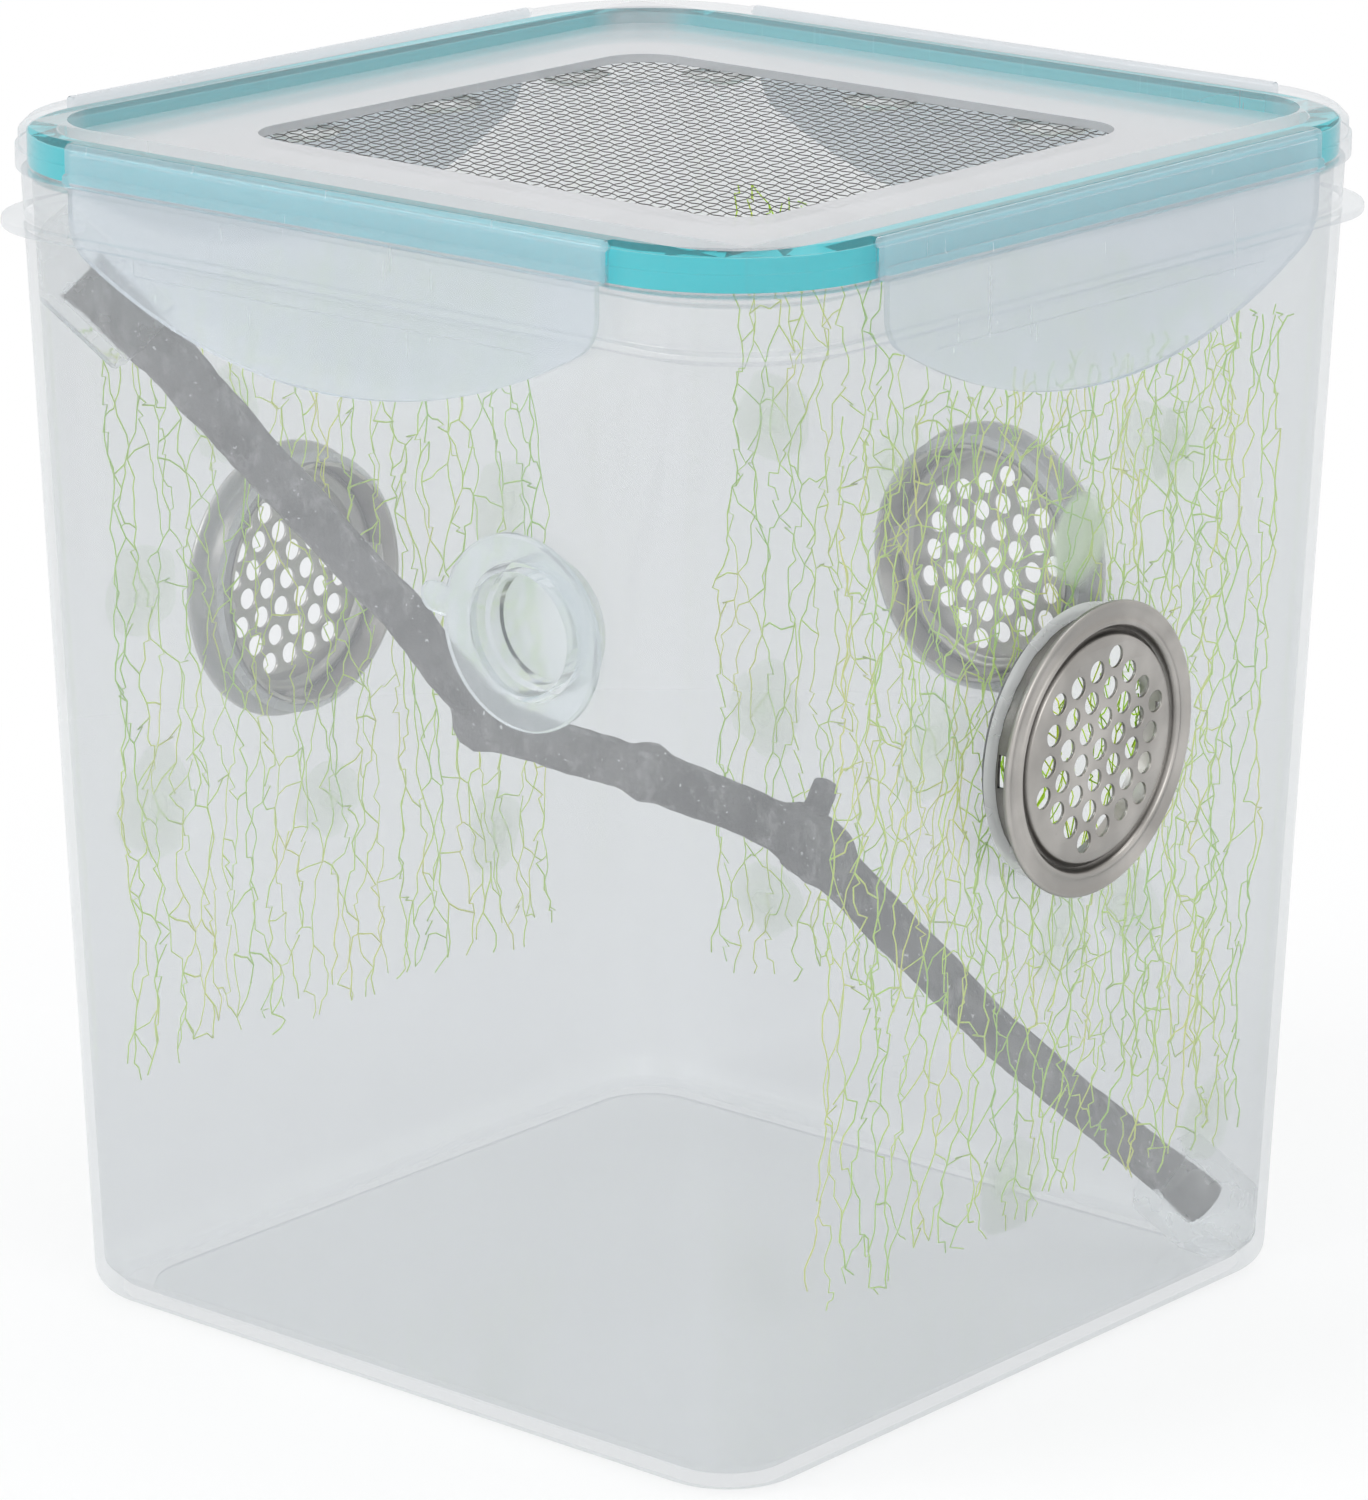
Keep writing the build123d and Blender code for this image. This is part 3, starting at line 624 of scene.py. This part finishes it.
# Climbing nets: left, right, lower and upper edge on each wall
NET_EDGES = {
    "right": (-62.0, 62.0, 28.0, 190.0),
    "back": (-60.0, 62.0, 26.0, 186.0),
    "left": (-57.0, 63.0, 34.0, 186.0),
}
NET_PITCH = 3.1
NET_GAP = 0.06
STRAND = 0.15
# Length between kinks, how far a strand drifts sideways, and the longest stretch without a bend
KINK_RUN = 3.0
DRIFT = 1.8
LONGEST = 9
CLUMP = 3.2


def crinkled(start, end, dice):
    """Points from start to end that zigzag with sharp kinks and now and then a sideways jog."""
    run = end - start
    steps = max(2, round(run.length / KINK_RUN))
    points = []
    swing = dice.choice((-1, 1))
    for step in range(1, steps):
        swing = -swing if dice.random() < 0.75 else swing
        kink = Vector((swing * dice.uniform(0.15, 1.1), dice.uniform(-0.9, 0.9), dice.uniform(-0.12, 0.12)))
        points.append(start + run * (step / steps) + kink)
        if dice.random() < 0.2:
            points.append(points[-1] + Vector((-swing * dice.uniform(0.8, 1.8), dice.uniform(0.1, 0.5), 0)))
    points.append(end)
    return points


def net_strands(left, right, bottom, top, dice):
    """Upright strands that meet their neighbours by turns, with short slanting cross links."""
    count = round((right - left) / NET_PITCH) + 1
    pitch = (right - left) / (count - 1)
    knots = [[] for strand in range(count)]
    links = []
    for strand in range(count - 1):
        height = bottom + dice.uniform(1, 12)
        while height < top - 2:
            meet = dice.random()
            middle = pitch * dice.uniform(0.35, 0.65)
            if meet < 0.55:
                knots[strand].append((height, middle))
                knots[strand + 1].append((height + dice.uniform(-0.3, 0.3), middle - pitch))
            elif meet < 0.85:
                links.append((strand, height, height + dice.choice((-1, 1)) * dice.uniform(1.0, 5.0)))
            height += dice.uniform(5, 15)
    strands = []
    for strand in range(count):
        low = bottom + dice.uniform(0, 7) * (1 if dice.random() < 0.7 else 2)
        high = top - dice.uniform(0, 6)
        marks = sorted(mark for mark in knots[strand] if low < mark[0] < high)
        marks = [(low, dice.uniform(-DRIFT, DRIFT))] + marks + [(high, dice.uniform(-DRIFT, DRIFT))]
        eased = [marks[0]]
        for mark in marks[1:]:
            while mark[0] - eased[-1][0] > LONGEST:
                share = dice.uniform(4, 7) / (mark[0] - eased[-1][0])
                away = eased[-1][1] * (1 - share) + mark[1] * share + dice.uniform(-DRIFT, DRIFT)
                eased.append((eased[-1][0] + share * (mark[0] - eased[-1][0]), away))
            if mark[0] - eased[-1][0] > 1.2 or mark is marks[-1]:
                eased.append(mark)
        across = left + strand * pitch
        line = [Vector((across + away, height, 0)) for height, away in eased]
        points = [line[0]]
        for start, end in zip(line, line[1:]):
            points.extend(crinkled(start, end, dice))
        strands.append(points)

    def at(strand, height):
        return min(strands[strand], key=lambda point: abs(point.y - height))

    for strand, start, end in links:
        first, last = at(strand, start), at(strand + 1, end)
        if (last - first).length < LONGEST:
            strands.append([first] + crinkled(first, last, dice))
    return strands


for number, (side, edges) in enumerate(NET_EDGES.items()):
    left, right, bottom, top = edges
    dice = random.Random(40 + number)
    middle = (bottom + top) / 2
    parts = []
    for points in net_strands(left, right, bottom - middle, top - middle, dice):
        thick = STRAND * dice.uniform(0.8, 1.25)
        inside = []
        for point in points:
            clump = CLUMP * noise.noise(Vector((point.x * 0.04, point.y * 0.03, number * 7.0)))
            out = -WALL - NET_GAP - thick + min(0, point.z) * 0.6
            inside.append(Vector((point.x + clump, point.y, out)))
        parts.append(tube(inside, thick, 4))
    add_piece(
        f"net_{side}_strands", *gather(parts), "box", net_thread, "net_green", [f"net_{side}"],
        wall_frame(side, 0, middle),
    )


# Glue patches on the nets: shift, height and radius of each; the thick patch is nearly white
NET_GLUE = {
    "right": (
        (4, 155, 9), (-36, 127, 10), (4, 82, 8), (-7, 39, 9), (52, 35, 8), (32, 166, 9), (-50, 178, 8),
    ),
    "back": ((50, 140, 9), (50, 82, 9), (48, 43, 8), (-40, 150, 8), (-40, 60, 8)),
    "left": ((53, 127, 9), (53, 87, 10), (7, 77, 8), (-46, 125, 9), (30, 156, 9), (-40, 60, 8)),
}
THICK_PATCH = ("right", 0)
# How much of the depth shows as white: in the thick patch and in the others
THICK_WHITE = 3.0
THIN_WHITE = 0.5
PATCH_MIDDLE = 110
PATCH_DEPTH = 1.25
PATCH_GAP = 0.08
DOME_STEPS = 40
DOME_RINGS = 7


def flat_dome(radius, thickness, seed):
    """A flattened, uneven dome of glue that lies on +Z."""
    points, faces = [(0, 0, thickness)], []
    for ring in range(1, DOME_RINGS + 1):
        share = ring / DOME_RINGS
        for step in range(DOME_STEPS):
            turn = 2 * math.pi * step / DOME_STEPS
            spot = Vector((math.cos(turn), math.sin(turn), seed))
            reach = radius * share * (1 + 0.22 * noise.noise(spot * 1.1) + 0.1 * noise.noise(spot * 2.7))
            ripple = 1 + 0.25 * noise.noise(Vector((reach * spot.x, reach * spot.y, seed)) * 0.35)
            points.append((reach * spot.x, reach * spot.y, thickness * ripple * (1 - share ** 3)))
    for step in range(DOME_STEPS):
        after = (step + 1) % DOME_STEPS
        faces.append((0, 1 + step, 1 + after))
        for ring in range(DOME_RINGS - 1):
            low, high = 1 + ring * DOME_STEPS, 1 + (ring + 1) * DOME_STEPS
            faces.append((low + step, high + step, high + after, low + after))
    base = len(points)
    points.append((0, 0, -0.02))
    rim = 1 + (DOME_RINGS - 1) * DOME_STEPS
    for step in range(DOME_STEPS):
        faces.append((base, rim + (step + 1) % DOME_STEPS, rim + step))
    return points, faces


def turned_over(dome, x, y, level):
    """A dome moved to its place with its flat side up."""
    points, faces = dome
    placed = [(across + x, along + y, level - up) for across, along, up in points]
    return placed, [face[::-1] for face in faces]


def dome_depths():
    """Depth of the glue at each point of a dome, from 1 in the middle to 0 at its edge."""
    rings = [1.0 - (1 + number // DOME_STEPS) / DOME_RINGS for number in range(DOME_RINGS * DOME_STEPS)]
    return [1.0] + rings + [0.0]


for side, patches in NET_GLUE.items():
    parts = []
    into_wall = wall_frame(side, 0, PATCH_MIDDLE)
    for number, (shift, height, radius) in enumerate(patches):
        dome = flat_dome(radius, PATCH_DEPTH, number * 3.7 + len(side))
        up = (height - PATCH_MIDDLE) / math.cos(LEAN)
        parts.append(turned_over(dome, shift, up, -WALL - PATCH_GAP))
    name = f"net_{side}_glue_patches"
    patch = add_piece(name, *gather(parts), "box", net_glue, "hot_glue", [f"net_glue_{side}"], into_wall)
    depth = patch.data.attributes.new("depth", "FLOAT", "POINT")
    whites = [THICK_WHITE if (side, number) == THICK_PATCH else THIN_WHITE for number in range(len(patches))]
    depth.data.foreach_set("value", [white * share for white in whites for share in dome_depths()])


# Mesh under the lid's window: two runs of wavy wires that cross at a slant
MESH_TOP = 214.55
MESH_HALF = (66.0, 62.5)
MESH_CELL = 2.93
MESH_WIRE = 0.095
MESH_RUNS = 34
# Under the panel's underside: the wires' middle, and the flat side of the glue pads
WIRES_DOWN = 0.28
PADS_DOWN = 0.56
MESH_HEADINGS = (math.radians(-15.5), math.radians(106))


def clipped(origin, heading):
    """Start and end of a line inside the mesh's outline, as distances."""
    low, high = -1e9, 1e9
    for axis in range(2):
        if abs(heading[axis]) > 1e-6:
            limit = MESH_HALF[axis]
            ends = sorted((side - origin[axis]) / heading[axis] for side in (-limit, limit))
            low, high = max(low, ends[0]), min(high, ends[1])
    return low, high


mesh_parts = []
for family in range(2):
    heading = Vector((math.cos(MESH_HEADINGS[family]), math.sin(MESH_HEADINGS[family])))
    other = Vector((math.cos(MESH_HEADINGS[1 - family]), math.sin(MESH_HEADINGS[1 - family])))
    for number in range(-MESH_RUNS, MESH_RUNS + 1):
        origin = other * number * MESH_CELL
        low, high = clipped(origin, heading)
        if high - low < 3:
            continue
        points = []
        step = math.ceil(low / (MESH_CELL / 3))
        while step * MESH_CELL / 3 < high:
            reach = step * MESH_CELL / 3
            over = math.cos(math.pi * (reach / MESH_CELL + number + family))
            sway = 0.16 * math.sin(math.pi * (reach / MESH_CELL + number))
            spot = origin + heading * reach
            sag = 0.25 * noise.noise(Vector((spot.x, spot.y, 3)) * 0.05)
            spot = spot + heading.orthogonal() * sway
            points.append((spot.x, spot.y, MESH_TOP - WIRES_DOWN + 0.12 * over + 0.3 * min(0, sag)))
            step += 1
        if len(points) > 2:
            mesh_parts.append(tube(points, MESH_WIRE, 4))
add_piece("lid_mesh_wires", *gather(mesh_parts), "cover", mesh_wire, "mesh_wire", ["lid_mesh"])

# Glue pads round the window, under the mesh
WINDOW = (117.0, 110.0)
PAD_RADIUS = 7.2
PAD_DEPTH = 1.8
pads = []
for quarter in range(4):
    across, length = WINDOW if quarter % 2 == 0 else WINDOW[::-1]
    angle = math.radians(90 * quarter)
    outward = Vector((math.cos(angle), math.sin(angle), 0))
    sideways = Vector((-math.sin(angle), math.cos(angle), 0))
    for number in range(3):
        spot = outward * (across / 2 + 1.0) + sideways * (number - 1) * length / 3
        dome = flat_dome(PAD_RADIUS, PAD_DEPTH, quarter * 2.3 + number * 5.1)
        pads.append(turned_over(dome, spot.x, spot.y, MESH_TOP - PADS_DOWN))
add_piece("lid_glue_pads", *gather(pads), "cover", clear_glue, "hot_glue", ["lid_glue"])


# Climbing stick: the solid's route in its upright diagonal plane. Each station has its share of
# the run, its height over the straight line and its radius
STICK = (
    (0.000, 0.0, 5.2), (0.082, -1.5, 4.9), (0.207, -6.6, 4.4), (0.304, -10.1, 4.2), (0.379, -14.2, 4.4),
    (0.397, -16.0, 5.9), (0.412, -14.6, 4.6), (0.488, -6.0, 4.4), (0.503, -4.1, 5.8), (0.519, -2.9, 4.6),
    (0.594, 3.4, 4.5), (0.609, 5.0, 6.2), (0.634, 4.8, 6.3), (0.652, 4.1, 4.6), (0.811, -0.3, 4.3),
    (0.923, -0.3, 4.1), (0.970, 0.3, 4.3), (1.000, 0.0, 4.6),
)
diagonal = Vector((1, 1, 0)).normalized()
stick_top = diagonal * -108.0 + Vector((0, 0, 191.5))
stick_foot = diagonal * 98.0 + Vector((0, 0, 10.9))
stick_run = stick_foot - stick_top
stick_above = Vector((1, -1, 0)).normalized().cross(stick_run).normalized()


def stick_at(share):
    """Centre and radius of the stick at a share of its length, smooth through its stations."""
    number = max(index for index, station in enumerate(STICK[:-1]) if station[0] <= share)
    around = [STICK[min(max(number + step, 0), len(STICK) - 1)] for step in (-1, 0, 1, 2)]
    part = (share - around[1][0]) / (around[2][0] - around[1][0])
    smooth = part * part * (3 - 2 * part)
    radius = around[1][2] * (1 - smooth) + around[2][2] * smooth
    offset = around[1][1] * (1 - part) + around[2][1] * part
    return stick_top + stick_run * share + stick_above * offset, radius


def bark_tube(points, radii, sides, seed):
    """A tube with an uneven, ridged outside."""
    rings, faces = tube(points, radii, sides)
    count = len(points)
    for number in range(count):
        centre = Vector(points[number])
        for side in range(sides):
            spot = rings[number * sides + side]
            away = spot - centre
            rough = 0.10 * noise.noise(spot * 0.11 + Vector((seed, 0, 0))) + 0.05 * noise.noise(spot * 0.4)
            ridge = 0.035 * math.sin(side * 2.4 + 0.4 * math.sin(number * 0.3))
            rings[number * sides + side] = centre + away * (0.97 + rough + ridge)
    return rings, faces


STICK_STEPS = 230
STICK_SIDES = 28
stick_line = [stick_at(step / STICK_STEPS) for step in range(STICK_STEPS)] + [(stick_foot, STICK[-1][2])]
stick_centres = [spot for spot, radius in stick_line]
stick_radii = [radius for spot, radius in stick_line]
stick_parts = [bark_tube(stick_centres, stick_radii, STICK_SIDES, 0.0)]
# Broken side twig, which leans from upright
STUB_LEAN = math.radians(20)
stub_foot = stick_top + stick_run * 0.613 + stick_above * 7.0
stub_heading = diagonal * math.sin(STUB_LEAN) + Vector((0, 0, math.cos(STUB_LEAN)))
stub_points = [stub_foot + stub_heading * (step * 0.5) for step in range(20)]
stub_radii = [2.9 - 0.5 * step / 19 for step in range(19)] + [1.4]
stick_parts.append(bark_tube(stub_points, stub_radii, 16, 5.0))
add_piece("climbing_stick_bark", *gather(stick_parts), "box", bark, "bark", ["climbing_stick"])


# Glue at the two ends of the stick
GLUE_GRAIN = 0.0007


def softened(node, name):
    """A lump of glue: the solid's own place and size with every edge melted round."""
    piece = moulding(node, name, "box", end_glue, 0)
    fine = piece.modifiers.new("fine", "REMESH")
    fine.mode = "VOXEL"
    fine.voxel_size = GLUE_GRAIN
    melt = piece.modifiers.new("melt", "LAPLACIANSMOOTH")
    melt.iterations = 6
    melt.lambda_factor = 2.0
    bpy.context.view_layer.update()
    melted = bpy.data.meshes.new_from_object(piece.evaluated_get(bpy.context.evaluated_depsgraph_get()))
    piece.modifiers.clear()
    piece.data = melted
    melted.polygons.foreach_set("use_smooth", [True] * len(melted.polygons))
    return piece


softened("stick_glue_top", "stick_top_glue")
softened("stick_glue_bottom", "stick_foot_glue")


# Floor, lamps and a white surround
floor_finish = new_finish("pale_floor")
position = floor_finish.node("ShaderNodeNewGeometry", {}, {}, "Position")
distance = floor_finish.node("ShaderNodeVectorMath", {"operation": "LENGTH"}, {0: position}, 1)
edge_fade = floor_finish.between(distance, 0.13, 0.4)
seen = floor_finish.node("ShaderNodeLightPath", {}, {}, "Is Camera Ray")
seen_through = floor_finish.node("ShaderNodeLightPath", {}, {}, "Is Transmission Ray")
mottle = floor_finish.grain(6.0)
pale = floor_finish.blend(mottle, (0.93, 0.93, 0.93), (0.95, 0.95, 0.95))
paper = floor_finish.shader(Base__Color=pale, Roughness=0.85)
white = floor_finish.node("ShaderNodeEmission", {}, {"Color": (1, 1, 1), "Strength": 1.0})
share = (seen + seen_through).clamped() * (0.66 + 0.34 * edge_fade)
floor_finish.out(floor_finish.mix(share, paper, white))
FLOOR_RADIUS = 3
FLOOR_SIDES = 60
floor_mesh = bpy.data.meshes.new("floor")
floor_turns = [math.radians(360 / FLOOR_SIDES * side) for side in range(FLOOR_SIDES)]
floor_rim = [(FLOOR_RADIUS * math.cos(turn), FLOOR_RADIUS * math.sin(turn), 0) for turn in floor_turns]
floor_faces = [(0, 1 + side, 1 + (side + 1) % FLOOR_SIDES) for side in range(FLOOR_SIDES)]
floor_mesh.from_pydata([(0, 0, 0)] + floor_rim, [], floor_faces)
floor_mesh.materials.append(floor_finish.owner)
floor = bpy.data.objects.new("floor", floor_mesh)
bpy.context.scene.collection.objects.link(floor)

world = Finish(bpy.data.worlds.new("surround"))
bpy.context.scene.world = world.owner
camera_ray = world.node("ShaderNodeLightPath", {}, {}, "Is Camera Ray")
glossy_ray = world.node("ShaderNodeLightPath", {}, {}, "Is Glossy Ray")
through_ray = world.node("ShaderNodeLightPath", {}, {}, "Is Transmission Ray")
shown = (camera_ray + glossy_ray + through_ray).clamped()
soft_light = world.node("ShaderNodeBackground", {}, {"Color": (0.96, 0.98, 1.0), "Strength": 0.62})
white_ground = world.node("ShaderNodeBackground", {}, {"Color": (1, 1, 1), "Strength": 1.0})
world.out(world.mix(shown, soft_light, white_ground))


def lamp(name, place, size, power):
    """A soft box that looks at the object's middle."""
    data = bpy.data.lights.new(name, "AREA")
    data.shape = "SQUARE"
    data.size = size
    data.energy = power
    made = bpy.data.objects.new(name, data)
    made.location = place
    made.rotation_euler = (Vector((0, 0, 0.1)) - Vector(place)).to_track_quat("-Z", "Y").to_euler()
    bpy.context.scene.collection.objects.link(made)


lamp("key", (-1.1, -1.9, 1.7), 1.3, 26)
lamp("fill", (2.1, -0.7, 1.0), 1.3, 11)
lamp("top", (0.2, 0.4, 2.4), 1.4, 14)
